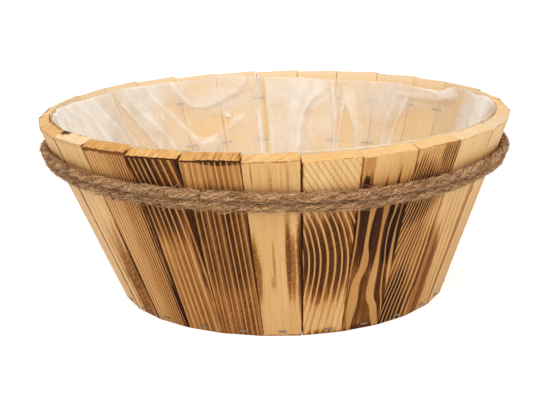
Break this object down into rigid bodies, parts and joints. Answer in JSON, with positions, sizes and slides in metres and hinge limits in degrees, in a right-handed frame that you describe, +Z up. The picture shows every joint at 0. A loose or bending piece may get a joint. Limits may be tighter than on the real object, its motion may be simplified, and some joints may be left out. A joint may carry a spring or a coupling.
{
  "type": "planter basket",
  "caption": "Round tapered basket of flame-darkened pine staves round a base board, with a film liner inside and jute rope wound twice under the rim.",
  "frame": {"origin": "middle of the base board's underside, on the ground", "axes": "+Z up through the open mouth, -Y towards the pictured front, +X to the right of it"},
  "size_m": [0.3976, 0.3982, 0.1542],
  "materials": {
    "flamed_pine": "matte, surface charred and brushed along the grain",
    "plywood": "matte, raw",
    "clear_film": "glossy, translucent film",
    "jute": "matte, hairy twisted yarn",
    "staple_wire": "galvanised wire"
  },
  "bodies": {
    "root": {"stave_01": "flamed_pine", "stave_02": "flamed_pine", "stave_03": "flamed_pine", "stave_04": "flamed_pine", "stave_05": "flamed_pine", "stave_06": "flamed_pine", "stave_07": "flamed_pine", "stave_08": "flamed_pine", "stave_09": "flamed_pine", "stave_10": "flamed_pine", "stave_11": "flamed_pine", "stave_12": "flamed_pine", "stave_13": "flamed_pine", "stave_14": "flamed_pine", "stave_15": "flamed_pine", "stave_16": "flamed_pine", "stave_17": "flamed_pine", "stave_18": "flamed_pine", "stave_19": "flamed_pine", "stave_20": "flamed_pine", "stave_21": "flamed_pine", "stave_22": "flamed_pine", "stave_23": "flamed_pine", "stave_24": "flamed_pine", "stave_25": "flamed_pine", "stave_26": "flamed_pine", "stave_27": "flamed_pine", "stave_28": "flamed_pine", "base_board": "plywood", "liner": "clear_film", "rope": "jute", "base_staples": "staple_wire", "joint_staples_upper": "staple_wire", "joint_staples_lower": "staple_wire", "rope_staples": "staple_wire"}
  },
  "joints": []
}
